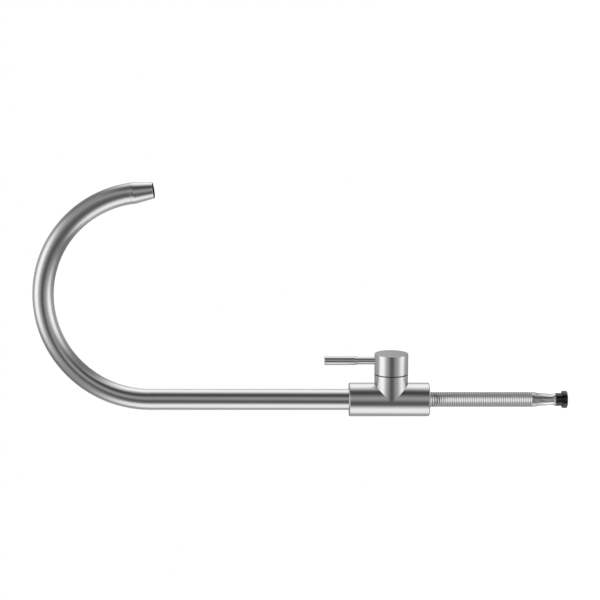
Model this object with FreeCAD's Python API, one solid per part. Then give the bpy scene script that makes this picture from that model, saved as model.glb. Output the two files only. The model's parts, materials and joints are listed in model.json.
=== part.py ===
import FreeCAD, Part
import math
import os

from FreeCAD import Vector

# Gooseneck drinking-water faucet, in millimetres. +Z runs up the body and the spout, the origin is on that
# axis in the deck plane, and +X points to the handle boss and to the outlet.

# Clearances shared by the pieces that fit together
RUNNING_GAP = 0.05
SEAT_GAP = 0.02
SEAL_GAP = 0.08
PASSING_GAP = 0.4

# Faucet body: an upright column with a side boss
BODY_DIAMETER = 26.5
BODY_HEIGHT = 63.2
BODY_RIM_ROUND = 0.9
BOSS_DIAMETER = 26.4
BOSS_AXIS_HEIGHT = 30.0
BOSS_REACH = 20.65
BOSS_RIM_ROUND = 0.2
WATERWAY_DIAMETER = 6.4
WATERWAY_WALL = 1.8
OUTLET_PORT_DIAMETER = 4.6
SOCKET_FLOOR_WALL = 1.5

# Spout tube and nozzle
TUBE_DIAMETER = 16.4
TUBE_WALL = 1.0
BEND_HEIGHT = 219.8
BEND_RADIUS = 81.75
BEND_ANGLE = 172.0
NOZZLE_COLLAR = 2.2
NOZZLE_COLLAR_STEP = 0.1
NOZZLE_COLLAR_CHAMFER = 0.15
NOZZLE_LENGTH = 17.2
NOZZLE_TIP_DIAMETER = 12.4
NOZZLE_TIP_ROUND = 0.2
NOZZLE_BORE = 11.3
NOZZLE_LEDGE = 0.6
NOZZLE_SPIGOT = 6.0
NOZZLE_SPIGOT_WALL = 0.8
STRAIGHTENER_RECESS = 0.1
STRAIGHTENER_LENGTH = 5.0
STRAIGHTENER_WALL = 0.6
VANE_THICKNESS = 0.45
VANES_EACH_WAY = 3

# Swivel between the spout and the body
STEM_LENGTH = 12.0
STEM_SPIGOT = 7.0
STEM_BORE = 9.0
SWIVEL_SEAL_SECTION = 1.4
SNAP_RING_WIDTH = 1.6
SNAP_RING_HEIGHT = 1.0
SNAP_RING_OPENING = 50.0
BUSH_LENGTH = 4.0
BUSH_WALL = 1.5
BUSH_RECESS = 0.4

# Quarter-turn ceramic valve in the boss
CHAMBER_SPACE = 0.85
DISC_DIAMETER = 15.8
FIXED_DISC_THICKNESS = 2.4
MOVING_DISC_THICKNESS = 2.2
DISC_PORT_INNER_DIAMETER = 5.0
DISC_RIM = 1.2
DISC_PORT_ANGLE = 76.0
DISC_KEY_WIDTH = 3.0
SEAT_SEAL_THICKNESS = 1.6
HOUSING_WALL = 0.8
HOUSING_THREAD_STEP = 0.6
HOUSING_THREAD_LENGTH = 4.5
HOUSING_SEAL_SECTION = 1.3
HOUSING_FLANGE_THICKNESS = 0.5
HOUSING_HEX_WIDTH = 18.5
HOUSING_HEX_HEIGHT = 3.0
SPINDLE_DIAMETER = 10.0
SPINDLE_SEAL_SECTION = 1.3
DRIVER_HEIGHT = 2.8
TANG_WIDTH = 2.4
TANG_HEIGHT = 1.1
STOP_HEIGHT = 1.9
STOP_LUG_ANGLE = 50.0
STOP_LUG_HEIGHT = 2.0
QUARTER_TURN = 90.0
STOP_PLAY_ANGLE = 1.0
CLIP_THICKNESS = 0.8
CLIP_WIDTH = 2.0
CLIP_OPENING = 70.0
CLIP_GROOVE_DEPTH = 0.7
SPLINE_DIAMETER = 8.0
SPLINE_DEPTH = 0.45
SPLINE_TEETH = 20
SPLINE_LENGTH = 6.2

# Handle
CAP_DIAMETER = 26.5
CAP_HEIGHT = 15.8
CAP_SEAM = 0.6
CAP_ROUND = 0.45
CAP_FOOT_ROUND = 0.15
SLIP_RING_INSET = 0.4
HUB_DIAMETER = 13.6
HUB_HEIGHT = 1.6
LEVER_RISE = 10.05
LEVER_THIN_DIAMETER = 5.9
LEVER_THICK_DIAMETER = 6.9
LEVER_REACH = 52.5
LEVER_GRIP_LENGTH = 23.6
LEVER_CONE_LENGTH = 3.2
LEVER_SEAT_DEPTH = 4.0
LEVER_TAIL_DIAMETER = 4.0
LEVER_TAIL_WALL = 1.45
LEVER_TIP_ROUND = 0.4
SCREW_DIAMETER = 4.0
SCREW_RISE = 7.9
SCREW_KEY_WIDTH = 2.0
SCREW_KEY_DEPTH = 2.4
SCREW_RECESS = 1.0

# Shank and deck seal
THREAD_DIAMETER = 12.0
THREAD_LENGTH = 80.4
SHANK_ENGAGEMENT = 11.0
SHANK_RELIEF = 1.2
SHANK_RELIEF_DEPTH = 0.8
SHANK_WASHER_THICKNESS = 1.2
BASE_SEAL_SECTION = 2.2
BASE_SEAL_DIAMETER = 19.4
NECK_LENGTH = 17.0
NECK_SHOULDER = 0.3
NECK_COLLAR_LENGTH = 4.2
NECK_COLLAR_TAPER = 0.1
TRUMPET_LENGTH = 2.3
TRUMPET_DROP = 0.25
NECK_TAPER = 0.2
NECK_WALL = 1.05
NECK_STEP = 0.5
NECK_STEP_LENGTH = 2.1
NECK_END_LENGTH = 2.7
LIP_HEIGHT = 1.8
LIP_STEP = 0.1
SPIGOT_LENGTH = 1.15

# Push-fit inlet for the water tube
WATER_TUBE_DIAMETER = 6.4
WATER_TUBE_STOP_DEPTH = 12.0
WATER_TUBE_STOP_LEDGE = 0.3
INLET_SOCKET_ROUND = 0.2
INLET_SOCKET_WALL = 0.65
INLET_SHOULDER = 0.15
INLET_LIP_HEIGHT = 1.4
INLET_LIP_DEPTH = 0.35
INLET_SEAL_SECTION = 1.0
GRIP_RING_THICKNESS = 0.25
GRIP_TEETH = 8
GRIP_TOOTH_DEPTH = 0.6
COLLET_FLANGE_DIAMETER = 13.4
COLLET_FLANGE_HEIGHT = 3.55
COLLET_FLANGE_ROUND = 0.5
COLLET_LEAD_IN = 0.5
COLLET_TRAVEL = 1.5
COLLET_BEAD_PLAY = 0.15
COLLET_BEAD_HEIGHT = 0.5
COLLET_OVERLAP = 0.4
COLLET_SLOT_WIDTH = 0.8
COLLET_SLOTS = 4

# Radii in the valve, from the discs outwards
DISC_RADIUS = DISC_DIAMETER / 2
DISC_PORT_INNER_RADIUS = DISC_PORT_INNER_DIAMETER / 2
DISC_PORT_OUTER_RADIUS = DISC_RADIUS - DISC_RIM
SLEEVE_BORE_RADIUS = DISC_RADIUS + RUNNING_GAP
SLEEVE_RADIUS = SLEEVE_BORE_RADIUS + HOUSING_WALL
CHAMBER_RADIUS = SLEEVE_RADIUS + CHAMBER_SPACE
HOUSING_BORE_RADIUS = CHAMBER_RADIUS + HOUSING_THREAD_STEP
HOUSING_THREAD_RADIUS = HOUSING_BORE_RADIUS - SEAT_GAP
SEAL_POCKET_RADIUS = HOUSING_BORE_RADIUS + HOUSING_SEAL_SECTION + SEAL_GAP
HOUSING_HEX_RADIUS = HOUSING_HEX_WIDTH / 2 / math.cos(math.pi / 6)
SPINDLE_RADIUS = SPINDLE_DIAMETER / 2
SPINDLE_BORE_RADIUS = SPINDLE_RADIUS + RUNNING_GAP
STOP_LUG_RADIUS = SPINDLE_RADIUS + STOP_LUG_HEIGHT
STOP_TRACK_RADIUS = STOP_LUG_RADIUS + RUNNING_GAP
CLIP_GROOVE_RADIUS = SPINDLE_RADIUS - CLIP_GROOVE_DEPTH
SPLINE_RADIUS = SPLINE_DIAMETER / 2

# Radii and levels of the body and the swivel
BODY_RADIUS = BODY_DIAMETER / 2
BOSS_RADIUS = BOSS_DIAMETER / 2
WATERWAY_RADIUS = WATERWAY_DIAMETER / 2
TUBE_RADIUS = TUBE_DIAMETER / 2
TUBE_BORE_RADIUS = TUBE_RADIUS - TUBE_WALL
SOCKET_RADIUS = TUBE_RADIUS + RUNNING_GAP
SOCKET_FLOOR = BOSS_AXIS_HEIGHT + CHAMBER_RADIUS + SOCKET_FLOOR_WALL
STEM_FOOT = SOCKET_FLOOR + RUNNING_GAP
TUBE_FOOT = STEM_FOOT + STEM_LENGTH
STEM_PITCH = STEM_LENGTH / 4
UPPER_SEAL_HEIGHT = TUBE_FOOT - STEM_PITCH
LOWER_SEAL_HEIGHT = TUBE_FOOT - 2 * STEM_PITCH
SNAP_RING_MIDDLE = TUBE_FOOT - 3 * STEM_PITCH
BUSH_TOP = BODY_HEIGHT - BUSH_RECESS
BUSH_FOOT = BUSH_TOP - BUSH_LENGTH

# Places along the valve's axis, as distances from the column's axis
SEAT_FACE = WATERWAY_RADIUS + WATERWAY_WALL
FIXED_DISC_FOOT = SEAT_FACE + SEAT_SEAL_THICKNESS
FIXED_DISC_TOP = FIXED_DISC_FOOT + FIXED_DISC_THICKNESS
MOVING_DISC_FOOT = FIXED_DISC_TOP + SEAT_GAP
MOVING_DISC_TOP = MOVING_DISC_FOOT + MOVING_DISC_THICKNESS
DRIVER_FOOT = MOVING_DISC_TOP + SEAT_GAP
DRIVER_TOP = DRIVER_FOOT + DRIVER_HEIGHT
HOUSING_SHOULDER = DRIVER_TOP + RUNNING_GAP
HOUSING_FOOT = SEAT_FACE + PASSING_GAP
SEAL_POCKET_DEPTH = HOUSING_SEAL_SECTION + 2 * SEAL_GAP
HOUSING_THREAD_FOOT = BOSS_REACH - SEAL_POCKET_DEPTH - HOUSING_THREAD_LENGTH
HOUSING_FLANGE_TOP = BOSS_REACH + HOUSING_FLANGE_THICKNESS
HOUSING_TOP = HOUSING_FLANGE_TOP + HOUSING_HEX_HEIGHT
STOP_TRACK_FLOOR = HOUSING_TOP - STOP_HEIGHT - 2 * RUNNING_GAP
STOP_LUG_FOOT = STOP_TRACK_FLOOR + RUNNING_GAP
SPINDLE_SEAL_PITCH = (STOP_TRACK_FLOOR - HOUSING_SHOULDER) / 3
CLIP_FOOT = HOUSING_TOP + RUNNING_GAP
CLIP_TOP = CLIP_FOOT + CLIP_THICKNESS
SPLINE_FOOT = CLIP_TOP + PASSING_GAP
SPLINE_TOP = SPLINE_FOOT + SPLINE_LENGTH
CAP_FOOT = BOSS_REACH + CAP_SEAM
CAP_TOP = CAP_FOOT + CAP_HEIGHT
HUB_FOOT = CLIP_TOP + PASSING_GAP
CAVITY_TOP = HUB_FOOT + HUB_HEIGHT
LEVER_X = CAP_FOOT + LEVER_RISE
SCREW_X = CAP_FOOT + SCREW_RISE

# Radii in the handle
CAP_RADIUS = CAP_DIAMETER / 2
CAVITY_RADIUS = HOUSING_HEX_RADIUS + PASSING_GAP
HUB_RADIUS = HUB_DIAMETER / 2
LEVER_SEAT_RADIUS = CAP_RADIUS - LEVER_SEAT_DEPTH
LEVER_TAIL_RADIUS = LEVER_TAIL_DIAMETER / 2
LEVER_TAIL_FOOT = SPLINE_RADIUS + LEVER_TAIL_WALL
SCREW_RADIUS = SCREW_DIAMETER / 2
SCREW_FOOT = SPLINE_RADIUS + SEAL_GAP

# Levels below the deck
THREAD_RADIUS = THREAD_DIAMETER / 2
SHANK_HOLE_TOP = SHANK_ENGAGEMENT + SHANK_WASHER_THICKNESS
NECK_TOP = -THREAD_LENGTH
NECK_FOOT = NECK_TOP - NECK_LENGTH
LIP_FOOT = NECK_FOOT - LIP_HEIGHT
SPIGOT_FOOT = LIP_FOOT - SPIGOT_LENGTH
WATER_TUBE_STOP = SPIGOT_FOOT + WATER_TUBE_STOP_DEPTH
INLET_SEAL_MIDDLE = SPIGOT_FOOT - SEAL_GAP - INLET_SEAL_SECTION / 2
GRIP_RING_TOP = INLET_SEAL_MIDDLE - INLET_SEAL_SECTION / 2 - SEAL_GAP
GRIP_RING_FOOT = GRIP_RING_TOP - GRIP_RING_THICKNESS
COLLET_TOP = GRIP_RING_FOOT - RUNNING_GAP - COLLET_TRAVEL
COLLET_BEAD_FOOT = COLLET_TOP - COLLET_BEAD_HEIGHT
INLET_LIP_TOP = COLLET_BEAD_FOOT - RUNNING_GAP
INLET_SOCKET_FOOT = INLET_LIP_TOP - INLET_LIP_HEIGHT
COLLET_FLANGE_TOP = INLET_SOCKET_FOOT + COLLET_OVERLAP
COLLET_FOOT = COLLET_FLANGE_TOP - COLLET_FLANGE_HEIGHT
COLLET_SKIRT_FLOOR = INLET_SOCKET_FOOT - COLLET_TRAVEL - 2 * RUNNING_GAP

# Radii of the inlet
WATER_TUBE_RADIUS = WATER_TUBE_DIAMETER / 2
SHANK_BORE_RADIUS = WATER_TUBE_RADIUS - WATER_TUBE_STOP_LEDGE
NECK_END_RADIUS = WATER_TUBE_RADIUS + NECK_WALL
WAIST_RADIUS = NECK_END_RADIUS + NECK_STEP
THROAT_RADIUS = WAIST_RADIUS + NECK_TAPER
INLET_CAVITY_RADIUS = NECK_END_RADIUS + INLET_SHOULDER
INLET_SOCKET_RADIUS = INLET_CAVITY_RADIUS + INLET_SOCKET_WALL
LIP_RADIUS = INLET_SOCKET_RADIUS - LIP_STEP
INLET_LIP_RADIUS = INLET_CAVITY_RADIUS - INLET_LIP_DEPTH
COLLET_SLEEVE_RADIUS = INLET_LIP_RADIUS - RUNNING_GAP
INLET_SEAL_INNER_RADIUS = INLET_CAVITY_RADIUS - SEAL_GAP - INLET_SEAL_SECTION

Z_AXIS = Vector(0, 0, 1)
Y_AXIS = Vector(0, 1, 0)


def turned(outline):
    """Solid of revolution about Z from (radius, height) corners."""
    corners = [Vector(radius, 0, height) for radius, height in outline]
    return Part.Face(Part.makePolygon(corners + corners[:1])).revolve(Vector(), Z_AXIS, 360)


def ring(inner, outer, low, high):
    return turned([(inner, low), (outer, low), (outer, high), (inner, high)])


def disc(radius, low, high):
    return Part.makeCylinder(radius, high - low, Vector(0, 0, low))


def round_seal(inner, section, height):
    return Part.makeTorus(inner + section / 2, section / 2, Vector(0, 0, height))


def sector(inner, outer, low, high, middle, sweep):
    """Part of a ring about Z that spans the given angle, in degrees, about its middle direction."""
    corners = [Vector(inner, 0, low), Vector(outer, 0, low), Vector(outer, 0, high), Vector(inner, 0, high)]
    wedge = Part.Face(Part.makePolygon(corners + corners[:1])).revolve(Vector(), Z_AXIS, sweep)
    wedge.rotate(Vector(), Z_AXIS, middle - sweep / 2)
    return wedge


def bar(width, inner, outer, low, high, direction):
    """Block of the given width that runs outwards from Z in a direction given in degrees."""
    block = Part.makeBox(outer - inner, width, high - low, Vector(inner, -width / 2, low))
    block.rotate(Vector(), Z_AXIS, direction)
    return block


def prism(corner_radii, low, high):
    """Upright prism whose corners are evenly spaced about Z at the given radii."""
    step = 2 * math.pi / len(corner_radii)
    corners = [
        Vector(radius * math.cos(n * step), radius * math.sin(n * step), low)
        for n, radius in enumerate(corner_radii)
    ]
    return Part.Face(Part.makePolygon(corners + corners[:1])).extrude(Vector(0, 0, high - low))


def hexagon(corner_radius, low, high):
    return prism([corner_radius] * 6, low, high)


def serration(tip_radius, low, high):
    """Triangular-toothed spline."""
    return prism([tip_radius, tip_radius - SPLINE_DEPTH] * SPLINE_TEETH, low, high)


def rims(shape, radius, height):
    """Round edges of the given radius about Z at the given height."""
    tolerance = 1e-6
    return [
        edge
        for edge in shape.Edges
        if isinstance(edge.Curve, Part.Circle)
        and abs(edge.Curve.Radius - radius) < tolerance
        and abs(edge.Curve.Center.z - height) < tolerance
    ]


def on_valve_axis(shape):
    """Lay a shape made about Z along the boss: its height becomes the distance along +X."""
    shape.rotate(Vector(), Y_AXIS, 90)
    shape.translate(Vector(0, 0, BOSS_AXIS_HEIGHT))
    return shape


def at_spout_end(shape):
    """Carry a shape made about Z to the end of the bend, with its +Z along the flow."""
    turn = math.radians(BEND_ANGLE)
    shape.rotate(Vector(), Y_AXIS, BEND_ANGLE)
    shape.translate(Vector(BEND_RADIUS * (1 - math.cos(turn)), 0, BEND_HEIGHT + BEND_RADIUS * math.sin(turn)))
    return shape


def faucet_body():
    column = disc(BODY_RADIUS, 0, BODY_HEIGHT)
    ends = rims(column, BODY_RADIUS, 0) + rims(column, BODY_RADIUS, BODY_HEIGHT)
    column = column.makeFillet(BODY_RIM_ROUND, ends)
    boss = disc(BOSS_RADIUS, 0, BOSS_REACH)
    rim_round = min(BOSS_RIM_ROUND, (BOSS_RADIUS - SEAL_POCKET_RADIUS) / 2)
    boss = boss.makeFillet(rim_round, rims(boss, BOSS_RADIUS, BOSS_REACH))
    valve_hollows = [
        disc(WATERWAY_RADIUS, 0, SEAT_FACE),
        disc(CHAMBER_RADIUS, SEAT_FACE, HOUSING_THREAD_FOOT),
        disc(HOUSING_BORE_RADIUS, HOUSING_THREAD_FOOT, BOSS_REACH),
        disc(SEAL_POCKET_RADIUS, BOSS_REACH - SEAL_POCKET_DEPTH, BOSS_REACH),
    ]
    column_hollows = [
        disc(THREAD_RADIUS + SEAT_GAP, 0, SHANK_HOLE_TOP),
        disc(WATERWAY_RADIUS, SHANK_HOLE_TOP, BOSS_AXIS_HEIGHT),
        base_groove(),
        disc(SOCKET_RADIUS, SOCKET_FLOOR, BODY_HEIGHT),
        disc(SOCKET_RADIUS + BUSH_WALL + SEAT_GAP, BUSH_FOOT, BODY_HEIGHT),
        snap_groove(SOCKET_RADIUS - RUNNING_GAP, SOCKET_RADIUS + SNAP_RING_WIDTH / 2 + SEAL_GAP),
        outlet_port(),
    ]
    hollows = [on_valve_axis(hollow) for hollow in valve_hollows] + column_hollows
    return column.fuse(on_valve_axis(boss)).cut(hollows)


def outlet_port():
    """Slanted drilling, on a line from the boss's mouth, that leads from the valve chamber to the spout."""
    foot = Vector((SEAT_FACE + HOUSING_THREAD_FOOT) / 2, 0, BOSS_AXIS_HEIGHT + CHAMBER_RADIUS * 2 / 3)
    head = Vector((STEM_BORE - OUTLET_PORT_DIAMETER) / 2, 0, SOCKET_FLOOR)
    along = head - foot
    overrun = OUTLET_PORT_DIAMETER / 2
    return Part.makeCylinder(OUTLET_PORT_DIAMETER / 2, along.Length + overrun, foot, along)


def base_groove():
    """Groove in the underside, deep enough to leave the squeezed deck seal flush."""
    half_width = BASE_SEAL_SECTION / 2 + SEAL_GAP
    middle = BASE_SEAL_DIAMETER / 2
    return ring(middle - half_width, middle + half_width, 0, BASE_SEAL_SECTION + 2 * SEAL_GAP)


def snap_groove(inner, outer):
    half_height = SNAP_RING_HEIGHT / 2 + SEAL_GAP
    return ring(inner, outer, SNAP_RING_MIDDLE - half_height, SNAP_RING_MIDDLE + half_height)


def base_seal():
    inner = (BASE_SEAL_DIAMETER - BASE_SEAL_SECTION) / 2
    return round_seal(inner, BASE_SEAL_SECTION, BASE_SEAL_SECTION / 2 + SEAL_GAP)


def bent_rod(radius):
    leg = disc(radius, TUBE_FOOT, BEND_HEIGHT)
    section = Part.Face(Part.Wire(Part.makeCircle(radius, Vector(0, 0, BEND_HEIGHT))))
    arch = section.revolve(Vector(BEND_RADIUS, 0, BEND_HEIGHT), Y_AXIS, BEND_ANGLE)
    return leg.fuse(arch)


def spout_tube():
    return bent_rod(TUBE_RADIUS).cut(bent_rod(TUBE_BORE_RADIUS))


def spout_nozzle():
    """Tapered outlet with a raised collar. Its spigot narrows upwards to clear the tube's curved bore."""
    bore = NOZZLE_BORE / 2
    throat = bore - NOZZLE_LEDGE
    ledge = NOZZLE_LENGTH - STRAIGHTENER_RECESS - STRAIGHTENER_LENGTH
    spigot = TUBE_BORE_RADIUS - SEAT_GAP
    spigot_end = spigot - NOZZLE_SPIGOT**2 / (2 * BEND_RADIUS) - SEAT_GAP
    collar = TUBE_RADIUS + NOZZLE_COLLAR_STEP
    tip = NOZZLE_TIP_DIAMETER / 2
    outline = [
        (spigot_end - NOZZLE_SPIGOT_WALL, -NOZZLE_SPIGOT),
        (spigot_end, -NOZZLE_SPIGOT),
        (spigot, 0),
        (collar - NOZZLE_COLLAR_CHAMFER, 0),
        (collar, NOZZLE_COLLAR_CHAMFER),
        (collar, NOZZLE_COLLAR),
        (tip, NOZZLE_LENGTH),
        (bore, NOZZLE_LENGTH),
        (bore, ledge),
        (throat, ledge),
        (throat, NOZZLE_COLLAR),
    ]
    nozzle = turned(outline)
    nozzle = nozzle.makeFillet(NOZZLE_TIP_ROUND, rims(nozzle, tip, NOZZLE_LENGTH))
    return at_spout_end(nozzle)


def flow_straightener():
    radius = NOZZLE_BORE / 2 - SEAT_GAP
    high = NOZZLE_LENGTH - STRAIGHTENER_RECESS
    low = high - STRAIGHTENER_LENGTH
    pitch = 2 * radius / (VANES_EACH_WAY + 1)
    vanes = []
    for n in range(VANES_EACH_WAY):
        middle = (n + 1) * pitch - radius
        near_side = middle - VANE_THICKNESS / 2
        vanes.append(Part.makeBox(VANE_THICKNESS, 2 * radius, high - low, Vector(near_side, -radius, low)))
        vanes.append(Part.makeBox(2 * radius, VANE_THICKNESS, high - low, Vector(-radius, near_side, low)))
    grid = vanes[0].fuse(vanes[1:]).common(disc(radius, low, high))
    return at_spout_end(ring(radius - STRAIGHTENER_WALL, radius, low, high).fuse(grid))


def stem_seal_floor():
    return SOCKET_RADIUS - SWIVEL_SEAL_SECTION - 2 * SEAL_GAP


def swivel_stem():
    """Turned stem brazed into the tube's foot, with grooves for two seals and the snap ring."""
    bore = STEM_BORE / 2
    spigot = TUBE_BORE_RADIUS - SEAT_GAP
    stem = turned([
        (bore, STEM_FOOT),
        (TUBE_RADIUS, STEM_FOOT),
        (TUBE_RADIUS, TUBE_FOOT),
        (spigot, TUBE_FOOT),
        (spigot, TUBE_FOOT + STEM_SPIGOT),
        (bore, TUBE_FOOT + STEM_SPIGOT),
    ])
    half_width = SWIVEL_SEAL_SECTION / 2 + SEAL_GAP
    grooves = [
        ring(stem_seal_floor(), SOCKET_RADIUS, height - half_width, height + half_width)
        for height in (UPPER_SEAL_HEIGHT, LOWER_SEAL_HEIGHT)
    ]
    grooves.append(snap_groove(SOCKET_RADIUS - SNAP_RING_WIDTH / 2 - SEAL_GAP, SOCKET_RADIUS))
    return stem.cut(grooves)


def upper_swivel_seal():
    return round_seal(stem_seal_floor() + SEAL_GAP, SWIVEL_SEAL_SECTION, UPPER_SEAL_HEIGHT)


def lower_swivel_seal():
    return round_seal(stem_seal_floor() + SEAL_GAP, SWIVEL_SEAL_SECTION, LOWER_SEAL_HEIGHT)


def spout_snap_ring():
    inner = SOCKET_RADIUS - SNAP_RING_WIDTH / 2
    low = SNAP_RING_MIDDLE - SNAP_RING_HEIGHT / 2
    high = SNAP_RING_MIDDLE + SNAP_RING_HEIGHT / 2
    return sector(inner, inner + SNAP_RING_WIDTH, low, high, 180, 360 - SNAP_RING_OPENING)


def swivel_bush():
    return ring(SOCKET_RADIUS, SOCKET_RADIUS + BUSH_WALL, BUSH_FOOT, BUSH_TOP)


def valve_housing():
    """Screwed-in housing: windowed sleeve round the discs, thread, flange, hexagon and turn stop."""
    housing = turned([
        (SLEEVE_BORE_RADIUS, HOUSING_FOOT),
        (SLEEVE_RADIUS, HOUSING_FOOT),
        (SLEEVE_RADIUS, HOUSING_THREAD_FOOT + PASSING_GAP),
        (HOUSING_THREAD_RADIUS, HOUSING_THREAD_FOOT + PASSING_GAP),
        (HOUSING_THREAD_RADIUS, BOSS_REACH),
        (SEAL_POCKET_RADIUS, BOSS_REACH),
        (SEAL_POCKET_RADIUS, HOUSING_FLANGE_TOP),
        (SPINDLE_BORE_RADIUS, HOUSING_FLANGE_TOP),
        (SPINDLE_BORE_RADIUS, HOUSING_SHOULDER),
        (SLEEVE_BORE_RADIUS, HOUSING_SHOULDER),
    ])
    hexagon_end = hexagon(HOUSING_HEX_RADIUS, HOUSING_FLANGE_TOP, HOUSING_TOP)
    hexagon_end = hexagon_end.cut(disc(SPINDLE_BORE_RADIUS, HOUSING_FLANGE_TOP, HOUSING_TOP))
    track_angle = STOP_LUG_ANGLE + QUARTER_TURN + 2 * STOP_PLAY_ANGLE
    track = sector(0, STOP_TRACK_RADIUS, STOP_TRACK_FLOOR, HOUSING_TOP, QUARTER_TURN / 2, track_angle)
    windows = [
        sector(0, SLEEVE_RADIUS + PASSING_GAP, DRIVER_FOOT, HOUSING_THREAD_FOOT, side, DISC_PORT_ANGLE)
        for side in (0, 180)
    ]
    key_slots = [
        bar(
            DISC_KEY_WIDTH + 2 * SEAT_GAP,
            0,
            SLEEVE_RADIUS + PASSING_GAP,
            HOUSING_FOOT,
            FIXED_DISC_TOP + SEAT_GAP,
            side,
        )
        for side in (90, 270)
    ]
    return on_valve_axis(housing.fuse(hexagon_end).cut([track] + windows + key_slots))


def housing_seal():
    inner = HOUSING_BORE_RADIUS + SEAL_GAP / 2
    return on_valve_axis(round_seal(inner, HOUSING_SEAL_SECTION, BOSS_REACH - SEAL_POCKET_DEPTH / 2))


def slip_ring():
    """Black ring round the housing's flange, which shows in the seam under the cap."""
    inner = SEAL_POCKET_RADIUS + SEAT_GAP
    return on_valve_axis(ring(inner, BOSS_RADIUS - SLIP_RING_INSET, BOSS_REACH, HOUSING_FLANGE_TOP))


def seat_seal():
    return on_valve_axis(ring(DISC_PORT_OUTER_RADIUS, DISC_RADIUS - SEAT_GAP, SEAT_FACE, FIXED_DISC_FOOT))


def disc_ports(low, high, first):
    """The two kidney openings of a ceramic disc, opposite each other."""
    return [
        sector(DISC_PORT_INNER_RADIUS, DISC_PORT_OUTER_RADIUS, low, high, first + side, DISC_PORT_ANGLE)
        for side in (0, 180)
    ]


def fixed_disc():
    plate = disc(DISC_RADIUS, FIXED_DISC_FOOT, FIXED_DISC_TOP)
    keys = [
        bar(DISC_KEY_WIDTH, 0, SLEEVE_RADIUS, FIXED_DISC_FOOT, FIXED_DISC_TOP, side)
        for side in (90, 270)
    ]
    ports = disc_ports(FIXED_DISC_FOOT, FIXED_DISC_TOP, 0)
    return on_valve_axis(plate.fuse(keys).cut(ports))


def moving_disc():
    """The openings stand across the fixed disc's while the valve is closed."""
    plate = disc(DISC_RADIUS, MOVING_DISC_FOOT, MOVING_DISC_TOP)
    ports = disc_ports(MOVING_DISC_FOOT, MOVING_DISC_TOP, QUARTER_TURN)
    slots = [
        bar(
            TANG_WIDTH + 2 * SEAT_GAP,
            DISC_PORT_INNER_RADIUS,
            DISC_RADIUS + PASSING_GAP,
            DRIVER_FOOT - TANG_HEIGHT - SEAT_GAP,
            MOVING_DISC_TOP,
            side,
        )
        for side in (0, 180)
    ]
    return on_valve_axis(plate.cut(ports + slots))


def spindle_seal_floor():
    return SPINDLE_BORE_RADIUS - SPINDLE_SEAL_SECTION - 2 * SEAL_GAP


def spindle_seal_places():
    return [HOUSING_SHOULDER + n * SPINDLE_SEAL_PITCH for n in (1, 2)]


def valve_spindle():
    """Spindle with a notched driver, two tangs, a stop lug, seal grooves, a clip groove and a spline."""
    stem = disc(DISC_RADIUS - RUNNING_GAP, DRIVER_FOOT, DRIVER_TOP)
    shaft = disc(SPINDLE_RADIUS, DRIVER_FOOT, SPLINE_FOOT)
    tangs = [
        bar(
            TANG_WIDTH,
            DISC_PORT_INNER_RADIUS + SEAT_GAP,
            DISC_RADIUS - PASSING_GAP,
            DRIVER_FOOT - TANG_HEIGHT,
            DRIVER_TOP,
            side,
        )
        for side in (0, 180)
    ]
    lug = sector(0, STOP_LUG_RADIUS, STOP_LUG_FOOT, STOP_LUG_FOOT + STOP_HEIGHT, 0, STOP_LUG_ANGLE)
    spline = serration(SPLINE_RADIUS, SPLINE_FOOT, SPLINE_TOP)
    ways = [
        sector(DISC_PORT_INNER_RADIUS, DISC_RADIUS, DRIVER_FOOT, DRIVER_TOP, side, DISC_PORT_ANGLE)
        for side in (QUARTER_TURN, QUARTER_TURN + 180)
    ]
    half_width = SPINDLE_SEAL_SECTION / 2 + SEAL_GAP
    grooves = [
        ring(spindle_seal_floor(), SPINDLE_BORE_RADIUS, place - half_width, place + half_width)
        for place in spindle_seal_places()
    ]
    grooves.append(ring(CLIP_GROOVE_RADIUS, SPINDLE_BORE_RADIUS, CLIP_FOOT - SEAT_GAP, CLIP_TOP + SEAT_GAP))
    return on_valve_axis(stem.cut(ways).fuse([shaft, lug, spline] + tangs).cut(grooves))


def spindle_seals():
    inner = spindle_seal_floor() + SEAL_GAP
    seals = [round_seal(inner, SPINDLE_SEAL_SECTION, place) for place in spindle_seal_places()]
    return on_valve_axis(Part.makeCompound(seals))


def spindle_clip():
    inner = CLIP_GROOVE_RADIUS + SEAT_GAP
    return on_valve_axis(sector(inner, inner + CLIP_WIDTH, CLIP_FOOT, CLIP_TOP, 180, 360 - CLIP_OPENING))


def at_lever(shape):
    """Carry a shape made about Z to the lever's axis, with its height measured from the boss's axis."""
    shape.translate(Vector(LEVER_X, 0, BOSS_AXIS_HEIGHT))
    return shape


def at_screw(shape):
    """Carry a shape made about Z to the set screw's axis, with its height measured down from the boss."""
    shape.rotate(Vector(), Y_AXIS, 180)
    shape.translate(Vector(SCREW_X, 0, BOSS_AXIS_HEIGHT))
    return shape


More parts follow.
